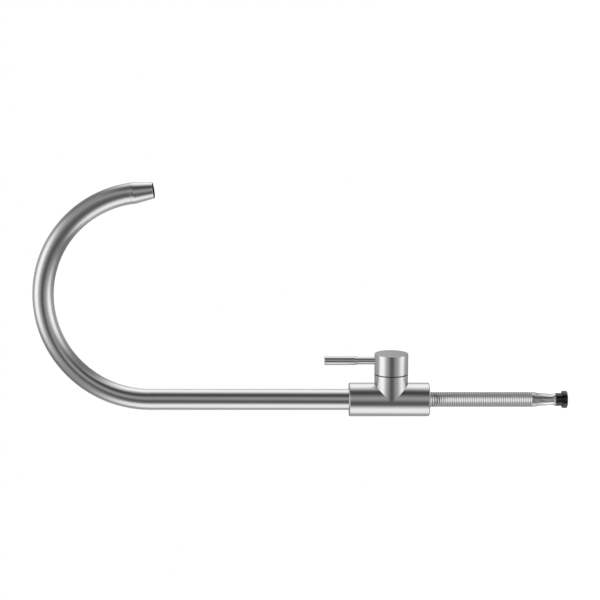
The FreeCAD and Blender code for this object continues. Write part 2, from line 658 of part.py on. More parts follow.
def handle_cap():
    """Turned cap: hollow over the housing's hexagon, solid above, with a splined hub and two side holes."""
    cap = disc(CAP_RADIUS, CAP_FOOT, CAP_TOP)
    cap = cap.makeFillet(CAP_FOOT_ROUND, rims(cap, CAP_RADIUS, CAP_FOOT))
    cap = cap.makeFillet(CAP_ROUND, rims(cap, CAP_RADIUS, CAP_TOP))
    cavity = turned([
        (0, CAP_FOOT),
        (CAVITY_RADIUS, CAP_FOOT),
        (CAVITY_RADIUS, CAVITY_TOP),
        (HUB_RADIUS, CAVITY_TOP),
        (HUB_RADIUS, HUB_FOOT),
        (0, HUB_FOOT),
    ])
    spline_hole = serration(SPLINE_RADIUS + SEAT_GAP, HUB_FOOT, SPLINE_TOP + PASSING_GAP)
    side_holes = [
        at_lever(disc(LEVER_THIN_DIAMETER / 2 + SEAT_GAP, LEVER_SEAT_RADIUS, CAP_RADIUS)),
        at_lever(disc(LEVER_TAIL_RADIUS + SEAT_GAP, LEVER_TAIL_FOOT - SEAT_GAP, LEVER_SEAT_RADIUS)),
        at_screw(disc(SCREW_RADIUS + SEAT_GAP, 0, CAP_RADIUS)),
    ]
    return on_valve_axis(cap.cut([cavity, spline_hole])).cut(side_holes)


def lever_rod():
    thin = LEVER_THIN_DIAMETER / 2
    thick = LEVER_THICK_DIAMETER / 2
    grip_foot = LEVER_REACH - LEVER_GRIP_LENGTH
    rod = turned([
        (0, LEVER_TAIL_FOOT),
        (LEVER_TAIL_RADIUS, LEVER_TAIL_FOOT),
        (LEVER_TAIL_RADIUS, LEVER_SEAT_RADIUS),
        (thin, LEVER_SEAT_RADIUS),
        (thin, grip_foot - LEVER_CONE_LENGTH),
        (thick, grip_foot),
        (thick, LEVER_REACH),
        (0, LEVER_REACH),
    ])
    rod = rod.makeFillet(LEVER_TIP_ROUND, rims(rod, thick, LEVER_REACH))
    return at_lever(rod)


def handle_screw():
    head = CAP_RADIUS - SCREW_RECESS
    key_radius = SCREW_KEY_WIDTH / 2 / math.cos(math.pi / 6)
    screw = disc(SCREW_RADIUS, SCREW_FOOT, head)
    return at_screw(screw.cut(hexagon(key_radius, head - SCREW_KEY_DEPTH, head)))


def threaded_shank():
    """Hollow stem: thread at its outer size, smooth collar, trumpet neck, flared lip and a short spigot."""
    thread = THREAD_RADIUS
    relief = thread - SHANK_RELIEF_DEPTH
    collar = thread - NECK_SHOULDER
    collar_top = NECK_TOP - NECK_SHOULDER
    collar_foot = collar_top - NECK_COLLAR_LENGTH
    mouth = THROAT_RADIUS + TRUMPET_DROP
    trumpet_foot = collar_foot - TRUMPET_LENGTH
    step_foot = NECK_FOOT + NECK_END_LENGTH
    sweep_radius = (TRUMPET_DROP**2 + TRUMPET_LENGTH**2) / (2 * TRUMPET_DROP)
    middle_height = trumpet_foot + TRUMPET_LENGTH / 2
    middle_radius = THROAT_RADIUS + sweep_radius - math.sqrt(sweep_radius**2 - (TRUMPET_LENGTH / 2) ** 2)
    above = [
        (SHANK_BORE_RADIUS, SHANK_ENGAGEMENT),
        (thread, SHANK_ENGAGEMENT),
        (thread, SHANK_RELIEF),
        (relief, SHANK_RELIEF),
        (relief, 0),
        (thread, 0),
        (thread, NECK_TOP),
        (collar, collar_top),
        (collar - NECK_COLLAR_TAPER, collar_foot),
        (mouth, collar_foot),
    ]
    below = [
        (THROAT_RADIUS, trumpet_foot),
        (WAIST_RADIUS, step_foot + NECK_STEP_LENGTH),
        (NECK_END_RADIUS, step_foot),
        (NECK_END_RADIUS, NECK_FOOT),
        (LIP_RADIUS, LIP_FOOT),
        (NECK_END_RADIUS - SEAT_GAP, LIP_FOOT),
        (NECK_END_RADIUS - SEAT_GAP, SPIGOT_FOOT),
        (WATER_TUBE_RADIUS, SPIGOT_FOOT),
        (WATER_TUBE_RADIUS, WATER_TUBE_STOP),
        (SHANK_BORE_RADIUS, WATER_TUBE_STOP),
        (SHANK_BORE_RADIUS, SHANK_ENGAGEMENT),
    ]
    trumpet = Part.Arc(
        Vector(mouth, 0, collar_foot),
        Vector(middle_radius, 0, middle_height),
        Vector(THROAT_RADIUS, 0, trumpet_foot),
    )
    edges = [straight(start, end) for start, end in zip(above, above[1:])]
    edges.append(trumpet.toShape())
    edges += [straight(start, end) for start, end in zip(below, below[1:])]
    return Part.Face(Part.Wire(edges)).revolve(Vector(), Z_AXIS, 360)


def straight(start, end):
    return Part.makeLine(Vector(start[0], 0, start[1]), Vector(end[0], 0, end[1]))


def shank_washer():
    return ring(WATERWAY_RADIUS, THREAD_RADIUS - SEAL_GAP, SHANK_ENGAGEMENT, SHANK_HOLE_TOP)


def inlet_socket():
    socket = turned([
        (NECK_END_RADIUS, LIP_FOOT),
        (INLET_SOCKET_RADIUS, LIP_FOOT),
        (INLET_SOCKET_RADIUS, INLET_SOCKET_FOOT),
        (INLET_LIP_RADIUS, INLET_SOCKET_FOOT),
        (INLET_LIP_RADIUS, INLET_LIP_TOP),
        (INLET_CAVITY_RADIUS, INLET_LIP_TOP),
        (INLET_CAVITY_RADIUS, SPIGOT_FOOT),
        (NECK_END_RADIUS, SPIGOT_FOOT),
    ])
    return socket.makeFillet(INLET_SOCKET_ROUND, rims(socket, INLET_SOCKET_RADIUS, LIP_FOOT))


def inlet_seal():
    return round_seal(INLET_SEAL_INNER_RADIUS, INLET_SEAL_SECTION, INLET_SEAL_MIDDLE)


def grip_ring():
    """Thin steel ring whose inward teeth hold the water tube."""
    inner = WATER_TUBE_RADIUS + SEAL_GAP
    washer = ring(inner, INLET_CAVITY_RADIUS - SEAT_GAP, GRIP_RING_FOOT, GRIP_RING_TOP)
    gap_angle = 180.0 / GRIP_TEETH
    gaps = [
        sector(0, inner + GRIP_TOOTH_DEPTH, GRIP_RING_FOOT, GRIP_RING_TOP, 2 * n * gap_angle, gap_angle)
        for n in range(GRIP_TEETH)
    ]
    return washer.cut(gaps)


def inlet_collet():
    """Release collet: slotted sleeve with a snap bead, and a flange whose skirt runs over the socket."""
    flange = COLLET_FLANGE_DIAMETER / 2
    skirt = INLET_SOCKET_RADIUS + PASSING_GAP
    bead = INLET_CAVITY_RADIUS - COLLET_BEAD_PLAY
    collet = turned([
        (WATER_TUBE_RADIUS, COLLET_TOP),
        (COLLET_SLEEVE_RADIUS, COLLET_TOP),
        (bead, COLLET_BEAD_FOOT),
        (COLLET_SLEEVE_RADIUS, COLLET_BEAD_FOOT),
        (COLLET_SLEEVE_RADIUS, COLLET_SKIRT_FLOOR),
        (skirt, COLLET_SKIRT_FLOOR),
        (skirt, COLLET_FLANGE_TOP),
        (flange, COLLET_FLANGE_TOP),
        (flange, COLLET_FOOT),
        (WATER_TUBE_RADIUS + COLLET_LEAD_IN, COLLET_FOOT),
        (WATER_TUBE_RADIUS, COLLET_FOOT + COLLET_LEAD_IN),
    ])
    collet = collet.makeFillet(COLLET_FLANGE_ROUND, rims(collet, flange, COLLET_FOOT))
    slots = [
        bar(COLLET_SLOT_WIDTH, 0, skirt, INLET_SOCKET_FOOT, COLLET_TOP, n * 360.0 / COLLET_SLOTS)
        for n in range(COLLET_SLOTS)
    ]
    return collet.cut(slots)


PIECES = [
    faucet_body,
    base_seal,
    threaded_shank,
    shank_washer,
    spout_tube,
    spout_nozzle,
    flow_straightener,
    swivel_stem,
    upper_swivel_seal,
    lower_swivel_seal,
    spout_snap_ring,
    swivel_bush,
    valve_housing,
    housing_seal,
    slip_ring,
    seat_seal,
    fixed_disc,
    moving_disc,
    valve_spindle,
    spindle_seals,
    spindle_clip,
    handle_cap,
    lever_rod,
    handle_screw,
    inlet_socket,
    inlet_seal,
    grip_ring,
    inlet_collet,
]

os.makedirs("parts", exist_ok=True)
for piece in PIECES:
    piece().exportStep("parts/" + piece.__name__ + ".step")
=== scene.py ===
import json
import math

import bmesh
import bpy
from mathutils import Matrix, Vector


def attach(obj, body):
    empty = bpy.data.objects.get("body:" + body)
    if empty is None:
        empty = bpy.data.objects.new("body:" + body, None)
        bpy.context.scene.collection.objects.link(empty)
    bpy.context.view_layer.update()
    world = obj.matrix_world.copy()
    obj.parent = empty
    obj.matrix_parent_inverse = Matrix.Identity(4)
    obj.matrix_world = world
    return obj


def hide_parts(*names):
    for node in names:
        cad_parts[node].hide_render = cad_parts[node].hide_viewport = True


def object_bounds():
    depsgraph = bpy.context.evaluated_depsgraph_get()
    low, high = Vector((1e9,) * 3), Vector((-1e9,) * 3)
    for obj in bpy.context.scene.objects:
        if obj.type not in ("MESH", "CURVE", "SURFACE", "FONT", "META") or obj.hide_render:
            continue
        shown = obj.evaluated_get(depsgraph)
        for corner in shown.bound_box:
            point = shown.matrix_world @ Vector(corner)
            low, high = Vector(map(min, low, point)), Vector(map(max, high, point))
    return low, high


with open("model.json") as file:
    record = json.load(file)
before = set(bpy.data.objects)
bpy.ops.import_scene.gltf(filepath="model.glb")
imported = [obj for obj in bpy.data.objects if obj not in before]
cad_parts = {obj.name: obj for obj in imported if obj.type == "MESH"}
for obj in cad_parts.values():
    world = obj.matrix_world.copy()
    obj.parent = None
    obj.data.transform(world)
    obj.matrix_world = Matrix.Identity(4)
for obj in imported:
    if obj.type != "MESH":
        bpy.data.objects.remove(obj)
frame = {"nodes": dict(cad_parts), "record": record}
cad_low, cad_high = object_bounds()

# Gooseneck drinking-water faucet, in metres. +Z runs up the body and the spout, and +X points to the handle
# and to the outlet.
MM = 0.001
UP = Vector((0, 0, 1))
ACROSS = Vector((0, 1, 0))

# Sizes that the finishes follow, as in the part's own source
BODY_RADIUS = 13.25 * MM
BOSS_AXIS_HEIGHT = 30.0 * MM
SEAM_FOOT = 20.65 * MM
SEAM_TOP = 21.25 * MM
BEND_HEIGHT = 219.8 * MM
BEND_RADIUS = 81.75 * MM
BEND_ANGLE = math.radians(172.0)

# Threaded shank: its thread, then its collar, trumpet neck, lip and spigot from the top down, and its bore
THREAD_RADIUS = 6.0 * MM
THREAD_PITCH = 1.75 * MM
THREAD_CREST = 0.18 * MM
THREAD_ROOT = 0.12 * MM
THREAD_FLANK = (THREAD_PITCH - THREAD_CREST - THREAD_ROOT) / 2
THREAD_DEPTH = 0.46 * MM
THREAD_STEPS = 36
SHANK_TOP = 11.0 * MM
THREAD_FOOT = -80.4 * MM
NECK_SHOULDER = 0.3 * MM
COLLAR_TOP = THREAD_FOOT - NECK_SHOULDER
COLLAR_RADIUS = THREAD_RADIUS - NECK_SHOULDER
COLLAR_BEND = -83.3 * MM
COLLAR_BEND_RADIUS = 5.63 * MM
COLLAR_FOOT = -84.9 * MM
TRUMPET_DROP = 0.35 * MM
TRUMPET_LENGTH = 3.4 * MM
THROAT_RADIUS = 4.88 * MM
WAIST_RADIUS = 4.7 * MM
WAIST_FOOT = -92.6 * MM
NECK_END_RADIUS = 4.25 * MM
NECK_END_TOP = -94.7 * MM
NECK_FOOT = -97.4 * MM
LIP_RADIUS = 4.95 * MM
LIP_FOOT = -99.2 * MM
SPIGOT_RADIUS = 4.23 * MM
SPIGOT_FOOT = -100.35 * MM
TUBE_SOCKET_RADIUS = 3.2 * MM
TUBE_STOP = -88.35 * MM
SHANK_BORE_RADIUS = 2.9 * MM
SHANK_SIDES = 72
TRUMPET_STEPS = 10
# Turns wound below the thread's foot, which are cut off square
SPARE_TURNS = 2
# How near two points are one, how near a cut takes a point, and the angle at which an edge shows as sharp
WELD = 0.01 * MM
CUT_REACH = 0.001 * MM
SHARP_ANGLE = math.radians(20.0)

# Camera: the photograph looks at the faucet's side, with the spout's top to the left
CAMERA_DISTANCE = 1.1
CAMERA_TURN = math.radians(10.0)
CAMERA_AIM = Vector((79.58 * MM, 0, 101.65 * MM))
CAMERA_LENS = 84.8
SENSOR_WIDTH = 36.0

# Studio: a white floor, and a dome whose tones only reflections see
FLOOR_RADIUS = 3.0
FLOOR_SIDES = 96
FLOOR_GLOW = 0.78
FLOOR_TONE = 0.36
FLOOR_BOUNCE = 0.8
DOME_RADIUS = 8.0
DOME_SIDES = 64
DOME_RINGS = 32
DOME_GAIN = 1.6
# Tones between the lights: at the sides and behind, higher up in front of them, and straight ahead
EDGE_TONE = 0.23
CORNER_TONE = 0.33
FRONT_TONE = 0.12
# Where each of those tones starts and is full, by how far ahead or how high a point is, in radii
CORNER_AHEAD = (0.0, 0.12)
CORNER_RISE = (-0.3, 0.3)
FRONT_AHEAD = (0.75, 1.0)
# Where the dark in front is centred, and how far it and the side lights lean to the right as they rise.
# The front's lean grows as this power of how far ahead a point is.
FRONT_MIDDLE = -0.2
FRONT_LEAN = 1.0
FRONT_LEAN_POWER = 5
SIDE_LEAN = 0.6
# How much further under the front the left-hand softbox and the right-hand flag reach, in degrees
SOFTBOX_TAIL = 25.0
FLAG_TAIL = 40.0
# Tones round the dome, by degrees to the right of the camera: softboxes at both sides, and dark flags
# beside them
ROUND_TONES = (
    (-180, 0.48),
    (-108, 0.42),
    (-78, 1.15),
    (-58, 1.15),
    (-19, 0.10),
    (-9, 0.10),
    (21, 0.42),
    (55, 0.07),
    (66, 0.07),
    (118, 1.25),
    (130, 1.25),
    (165, 0.50),
    (180, 0.48),
)
# Tones over the dome and under it, by degrees from the camera: a softbox overhead, and the white ground
# below
OVER_TONES = (
    (0, 0.09),
    (5, 0.09),
    (25, 0.37),
    (34, 0.49),
    (61, 1.28),
    (80, 1.28),
    (107, 0.46),
    (180, 0.42),
)
UNDER_TONES = (
    (0, 0.10),
    (3, 0.10),
    (29, 0.40),
    (37, 0.47),
    (76, 1.28),
    (84, 1.28),
    (112, 0.44),
    (180, 0.42),
)
# Where each light starts, is full, fades and ends, by degrees from the left side over the top, or under it
OVER_SPAN = (52, 80, 106, 131)
UNDER_SPAN = (47, 86, 99, 132)
CLEAR_OF_SIDES_OVER = (18, 42, 141, 168)
CLEAR_OF_LEFT_UNDER = (18, 40)
CLEAR_OF_RIGHT_UNDER = (140, 172)
# Plain light: the sky where it isn't seen, and a lamp
SKY_FILL = 0.70
KEY_PLACE = Vector((-1.2, -1.4, 1.9))
KEY_SIDE = 1.5
KEY_POWER = 20.0


class Shade:
    """A value on a surface. Arithmetic on it adds Math nodes to the finish that it belongs to."""

    def __init__(self, finish, socket):
        self.finish = finish
        self.socket = socket

    def maths(self, operation, *values):
        return self.finish.node("ShaderNodeMath", {"operation": operation}, dict(enumerate(values)))

    def __add__(self, other):
        return self.maths("ADD", self, other)

    def __radd__(self, other):
        return self.maths("ADD", other, self)

    def __sub__(self, other):
        return self.maths("SUBTRACT", self, other)

    def __rsub__(self, other):
        return self.maths("SUBTRACT", other, self)

    def __mul__(self, other):
        return self.maths("MULTIPLY", self, other)

    def __rmul__(self, other):
        return self.maths("MULTIPLY", other, self)

    def __truediv__(self, other):
        return self.maths("DIVIDE", self, other)

    def __pow__(self, other):
        return self.maths("POWER", self, other)

    def __neg__(self):
        return self.maths("MULTIPLY", self, -1.0)

    def size(self):
        return self.maths("ABSOLUTE", self)

    def larger(self, other):
        return self.maths("MAXIMUM", self, other)

    def ramp(self, low, high):
        """0 below low, 1 above high, and a smooth step between them."""
        settings = {"interpolation_type": "SMOOTHSTEP"}
        inputs = {"Value": self, "From Min": low, "From Max": high}
        return self.finish.node("ShaderNodeMapRange", settings, inputs)

    def span(self, start, full, fading, end):
        """1 within a span and 0 outside it, with a soft edge at either end."""
        return self.ramp(start, full) * (1 - self.ramp(fading, end))


class Finish:
    """A node tree with one method that adds a node."""

    def __init__(self, tree):
        self.tree = tree
        tree.nodes.clear()

    def node(self, kind, settings=None, inputs=None, output=0):
        """Adds a node, sets it, and gives its inputs their values or links. Returns one of its outputs."""
        made = self.tree.nodes.new(kind)
        for name, value in (settings or {}).items():
            if name == "stops":
                self.set_stops(made.color_ramp, value)
            else:
                setattr(made, name, value)
        for name, value in (inputs or {}).items():
            if isinstance(value, Shade):
                self.tree.links.new(value.socket, made.inputs[name])
            else:
                made.inputs[name].default_value = value
        return Shade(self, made.outputs[output]) if made.outputs else made

    @staticmethod
    def set_stops(ramp, stops):
        ramp.interpolation = "EASE"
        while len(ramp.elements) < len(stops):
            ramp.elements.new(1.0)
        for element, (place, tone) in zip(ramp.elements, stops):
            element.position = place
            element.color = (tone, tone, tone, 1.0)

    def place(self):
        """The x, y and z of a point on the piece."""
        point = self.node("ShaderNodeTexCoord", output="Object")
        return [self.node("ShaderNodeSeparateXYZ", inputs={0: point}, output=axis) for axis in range(3)]

    def angle(self, rise, run):
        return self.node("ShaderNodeMath", {"operation": "ARCTAN2"}, {0: rise, 1: run})

    def point(self, x, y, z):
        return self.node("ShaderNodeCombineXYZ", inputs={0: x, 1: y, 2: z})

    def noise(self, point, detail=2.0, roughness=0.5, scale=1.0):
        inputs = {"Vector": point, "Scale": scale, "Detail": detail, "Roughness": roughness}
        return self.node("ShaderNodeTexNoise", inputs=inputs)

    def blend(self, share, first, second):
        """A colour between two colours, which the node takes at sockets 6 and 7 and gives at output 2."""
        settings = {"data_type": "RGBA"}
        return self.node("ShaderNodeMix", settings, {0: share, 6: first, 7: second}, output=2)

    def bump(self, height, distance):
        return self.node("ShaderNodeBump", inputs={"Strength": 1.0, "Distance": distance, "Height": height})

    def surface(self, **inputs):
        named = {name.replace("_", " "): value for name, value in inputs.items()}
        return self.node("ShaderNodeBsdfPrincipled", inputs=named)

    def show(self, shader, kind="ShaderNodeOutputMaterial"):
        self.node(kind, inputs={"Surface": shader})


def grey(tone):
    return (tone, tone, tone, 1.0)


def new_finish(name):
    material = bpy.data.materials.new(name)
    material.use_nodes = True
    return material, Finish(material.node_tree)


# Brushed metal: fine hairlines and broader streaks, with their width, and how much longer than wide they are
HAIRLINE = 0.22 * MM
HAIRLINE_STRETCH = 140.0
HAIRLINE_DETAIL = 3.0
HAIRLINE_ROUGHNESS = 0.6
HAIRLINE_SHARE = 0.6
HAIRLINE_DEPTH = 0.003 * MM
STREAK = 1.6 * MM
STREAK_STRETCH = 60.0
STREAK_SHARE = 0.4
# How softly the lay changes from the leg to the bend, and how far off the column it changes to the boss's
BEND_BLUR = 0.1 * MM
BOSS_START = 0.02 * MM
BOSS_FULL = 0.06 * MM
# How fast a turning line changes along its ring
RING_DRIFT = 0.1
# Unbrushed places, and painted shade in the thread's roots and on the seam's edges: their colour, how much
# rougher they are, and where they start and are full
AS_TURNED = grey(0.62)
AS_TURNED_ROUGHER = 0.12
COLLAR_FADE = 2.0 * MM
# Painted shade in the thread's roots
THREAD_ROOT_SHADE = grey(0.46)
THREAD_ROOT_SHADE_ROUGHER = 0.10
ROOT_START = 0.20 * MM
ROOT_FULL = 0.08 * MM
# Painted shade on the edges at the seam between the boss and the cap
SEAM_EDGE_SHADE = grey(0.30)
SEAM_EDGE_SHADE_ROUGHER = 0.30
SEAM_BELOW = 0.15 * MM
SEAM_ABOVE = 0.1 * MM
TURNED_AND_SHADE_BLUR = 0.1 * MM
# Moulded plastic: a fine skin over larger clouds, and what each adds to the colour and the roughness
SKIN_DETAIL = 3.0
SKIN_DEPTH = 0.02
SKIN_SHARE = 0.5
CLOUD_SIZE = 30.0
CLOUD_SHARE = 0.5
PALE_GAIN = 1.5
PALE_LIFT = 0.0005
ROUGH_LEAST = 0.6
ROUGH_BY_CLOUD = 0.5
ROUGH_BY_SKIN = 0.3
PLASTIC_REFRACTION = 1.5


# The lay of the hairlines is a point whose third part runs along them
def along_the_column(finish):
    return finish.place()


def along_the_spout(finish):
    """Across the tube and along it, up the leg and then round the bend."""
    x, y, z = finish.place()
    reach = x - BEND_RADIUS
    rise = z - BEND_HEIGHT
    from_centre = (reach * reach + rise * rise) ** 0.5
    in_bend = rise.larger(reach).ramp(-BEND_BLUR, BEND_BLUR)
    across = in_bend * (BEND_RADIUS - from_centre) + (1 - in_bend) * x
    round_bend = finish.angle(rise, -reach)
    return across, y, in_bend * (round_bend * BEND_RADIUS) + (1 - in_bend) * rise


def round_the_boss(finish):
    """Turning lines: rings about the boss's axis."""
    x, y, z = finish.place()
    height = z - BOSS_AXIS_HEIGHT
    return x, (y * y + height * height) ** 0.5, (y + height) * RING_DRIFT


def along_column_round_boss(finish):
    """Hairlines up the column, and turning lines on the boss."""
    x, y, z = finish.place()
    out = (x * x + y * y) ** 0.5
    on_boss = out.ramp(BODY_RADIUS + BOSS_START, BODY_RADIUS + BOSS_FULL)
    upright = (x, y, z)
    turned = round_the_boss(finish)
    return [on_boss * b + (1 - on_boss) * a for a, b in zip(upright, turned)]


def along_the_nozzle(finish):
    """Rings about the tilted outlet."""
    x, y, z = finish.place()
    middle_x = BEND_RADIUS * (1 - math.cos(BEND_ANGLE))
    middle_z = BEND_HEIGHT + BEND_RADIUS * math.sin(BEND_ANGLE)
    side = x - middle_x
    rise = z - middle_z
    across = side * math.cos(BEND_ANGLE) - rise * math.sin(BEND_ANGLE)
    down = side * math.sin(BEND_ANGLE) + rise * math.cos(BEND_ANGLE)
    return across, y, down


# Unbrushed places, and painted shade in the thread's roots and on the seam's edges
def on_the_collar(finish):
    """1 on the shank's collar, which is left as turned, and less and less down its neck."""
    height = finish.place()[2]
    return height.span(WAIST_FOOT, COLLAR_FOOT - COLLAR_FADE, THREAD_FOOT, THREAD_FOOT + TURNED_AND_SHADE_BLUR)


def in_the_root(finish):
    """Where the thread gets painted shade: 1 at the bottom of its groove, and 0 on its crests and below the
    thread.
    """
    x, y, z = finish.place()
    depth = THREAD_RADIUS - (x * x + y * y) ** 0.5
    deep = depth.ramp(THREAD_DEPTH - ROOT_START, THREAD_DEPTH - ROOT_FULL)
    return deep * z.ramp(THREAD_FOOT, THREAD_FOOT + TURNED_AND_SHADE_BLUR)


def in_the_seam(finish):
    """Where the seam gets painted shade: 1 on the edges of the seam between the boss and the cap, and 0
    elsewhere.
    """
    reach = finish.place()[0]
    low_edge = SEAM_FOOT - SEAM_BELOW
    high_edge = SEAM_TOP + SEAM_ABOVE
    return reach.span(low_edge - TURNED_AND_SHADE_BLUR, low_edge, high_edge, high_edge + TURNED_AND_SHADE_BLUR)


def metal(name, lay, dark, light, smooth, rough, *unbrushed_and_shaded):
    """Worked metal: two colours and two roughnesses, mixed along its lay, and any unbrushed places and
    patches of painted shade.
    """
    material, finish = new_finish(name)
    first, second, along = lay(finish)
    fine_point = finish.point(first / HAIRLINE, second / HAIRLINE, along / (HAIRLINE * HAIRLINE_STRETCH))
    broad_point = finish.point(first / STREAK, second / STREAK, along / (STREAK * STREAK_STRETCH))
    fine = finish.noise(fine_point, detail=HAIRLINE_DETAIL, roughness=HAIRLINE_ROUGHNESS)
    broad = finish.noise(broad_point)
    grain = fine * HAIRLINE_SHARE + broad * STREAK_SHARE
    colour = finish.blend(grain, dark, light)
    roughness = grain * (rough - smooth) + smooth
    for place, tone, rougher in unbrushed_and_shaded:
        share = place(finish)
        # Lays each mark's colour over the grain: the unbrushed collar, and painted shade in the thread's
        # roots and on the seam's edges
        colour = finish.blend(share, colour, tone)
        roughness = roughness + share * rougher
    shader = finish.surface(
        Base_Color=colour,
        Metallic=1.0,
        Roughness=roughness,
        Normal=finish.bump(fine, HAIRLINE_DEPTH),
    )
    finish.show(shader)
    return material


def plastic(name, tone, rough, speckle, refraction=PLASTIC_REFRACTION):
    """Moulded plastic with a fine spark-eroded skin."""
    material, finish = new_finish(name)
    point = finish.point(*finish.place())
    skin = finish.noise(point, detail=SKIN_DETAIL, scale=1 / speckle)
    cloud = finish.noise(point, scale=1 / (CLOUD_SIZE * speckle))
    pale = [min(1.0, part * PALE_GAIN + PALE_LIFT) for part in tone]
    shader = finish.surface(
        Base_Color=finish.blend(skin * SKIN_SHARE + cloud * CLOUD_SHARE, (*tone, 1.0), (*pale, 1.0)),
        Roughness=rough * (ROUGH_LEAST + ROUGH_BY_CLOUD * cloud + ROUGH_BY_SKIN * skin),
        IOR=refraction,
        Normal=finish.bump(skin, SKIN_DEPTH * speckle),
    )
    finish.show(shader)
    return material


COLLAR = (on_the_collar, AS_TURNED, AS_TURNED_ROUGHER)
# Painted shade: the thread's roots darkened, where shade falls in the groove
ROOT = (in_the_root, THREAD_ROOT_SHADE, THREAD_ROOT_SHADE_ROUGHER)
# Painted shade: the edges of the boss and the cap darkened at their seam
SEAM = (in_the_seam, SEAM_EDGE_SHADE, SEAM_EDGE_SHADE_ROUGHER)
# Each metal's dark and light colour, and its least and most roughness
BRUSHED = (grey(0.66), grey(0.78), 0.14, 0.24)
SHANK = (grey(0.76), grey(0.88), 0.14, 0.24)
SPRING = (grey(0.40), grey(0.60), 0.25, 0.40)
BRASS = ((0.40, 0.28, 0.12, 1.0), (0.58, 0.42, 0.19, 1.0), 0.20, 0.35)
# Each plastic's colour, roughness and width of speckle, and its refraction where that isn't the usual one
MOUTH_ACETAL = ((0.002, 0.002, 0.002), 0.7, 0.25 * MM, 1.05)
BLACK_ACETAL = ((0.0005, 0.0005, 0.0005), 0.1, 0.25 * MM, 1.7)
WHITE_ACETAL = ((0.70, 0.70, 0.68), 0.5, 0.25 * MM)
CERAMIC = ((0.80, 0.79, 0.75), 0.3, 0.3 * MM)
RUBBER = ((0.02, 0.02, 0.02), 0.65, 0.2 * MM)
FIBRE = ((0.40, 0.18, 0.12), 0.8, 0.25 * MM)
# Finishes of single pieces, and of all the others by the record's material slots
FINISHES = {
    # The column and the cap carry painted shade on their edges at the seam
    "faucet_body": metal("column_steel", along_column_round_boss, *BRUSHED, SEAM),
    "spout_tube": metal("spout_steel", along_the_spout, *BRUSHED),
    "spout_nozzle": metal("nozzle_steel", along_the_nozzle, *BRUSHED),
    "handle_cap": metal("cap_steel", round_the_boss, *BRUSHED, SEAM),
    "lever_rod": metal("lever_steel", along_the_column, *BRUSHED),
    "flow_straightener": plastic("mouth_acetal", *MOUTH_ACETAL),
}
BY_SLOT = {
    "brushed_steel": FINISHES["faucet_body"],
    # The shank's steel has painted shade in its thread's roots
    "shank_steel": metal("shank_steel", along_the_column, *SHANK, COLLAR, ROOT),
    "spring_steel": metal("spring_steel", along_the_column, *SPRING),
    "brass": metal("turned_brass", round_the_boss, *BRASS),
    "ceramic": plastic("lapped_ceramic", *CERAMIC),
    "rubber": plastic("seal_rubber", *RUBBER),
    "fibre": plastic("washer_fibre", *FIBRE),
    "black_acetal": plastic("black_acetal", *BLACK_ACETAL),
    "white_acetal": plastic("white_acetal", *WHITE_ACETAL),
}

for part in frame["record"]["subparts"]:
    node = frame["nodes"][part["node"]]
    node.material_slots[0].material = FINISHES.get(part["node"], BY_SLOT[part["material_slot"]])
# The photograph's body hardly shows the lever in its shine
frame["nodes"]["lever_rod"].visible_glossy = False


# Making the shank
def rim_at(mesh, height, radius=None):
    """Open edges whose ends lie at a height, and within a little of a radius where one is given."""
    return [
        edge
        for edge in mesh.edges
        if edge.is_boundary
        and all(abs(v.co.z - height) < WELD for v in edge.verts)
        and (radius is None or all(abs(v.co.xy.length - radius) < WELD for v in edge.verts))
    ]


def chain(mesh, start, corners):
    """Extends an outline from a vertex through (radius, height) corners."""
    for radius, height in corners:
        nearby = mesh.verts.new((radius, 0, height))
        mesh.edges.new((start, nearby))
        start = nearby


def wind_thread(mesh):
    """Winds one turn of the thread, repeats it up the shank, and cuts both ends square."""
    outline_foot = THREAD_FOOT - SPARE_TURNS * THREAD_PITCH
    root = THREAD_RADIUS - THREAD_DEPTH
    corners = [
        (root, outline_foot + THREAD_ROOT),
        (THREAD_RADIUS, outline_foot + THREAD_ROOT + THREAD_FLANK),
        (THREAD_RADIUS, outline_foot + THREAD_ROOT + THREAD_FLANK + THREAD_CREST),
        (root, outline_foot + THREAD_PITCH),
    ]
    chain(mesh, mesh.verts.new((root, 0, outline_foot)), corners)
    bmesh.ops.spin(
        mesh,
        geom=mesh.verts[:] + mesh.edges[:],
        axis=UP,
        dvec=(0, 0, THREAD_PITCH / THREAD_STEPS),
        angle=2 * math.pi,
        steps=THREAD_STEPS,
    )
    turns = 1
    while turns * THREAD_PITCH < SHANK_TOP - outline_foot + THREAD_PITCH:
        again = bmesh.ops.duplicate(mesh, geom=mesh.verts[:] + mesh.edges[:] + mesh.faces[:])["geom"]
        copied = [part for part in again if isinstance(part, bmesh.types.BMVert)]
        bmesh.ops.translate(mesh, verts=copied, vec=(0, 0, turns * THREAD_PITCH))
        turns *= 2
    bmesh.ops.remove_doubles(mesh, verts=mesh.verts, dist=WELD)
    for height, side in ((SHANK_TOP, UP), (THREAD_FOOT, -UP)):
        bmesh.ops.bisect_plane(
            mesh,
            geom=mesh.verts[:] + mesh.edges[:] + mesh.faces[:],
            dist=CUT_REACH,
            plane_co=(0, 0, height),
            plane_no=side,
            clear_outer=True,
        )


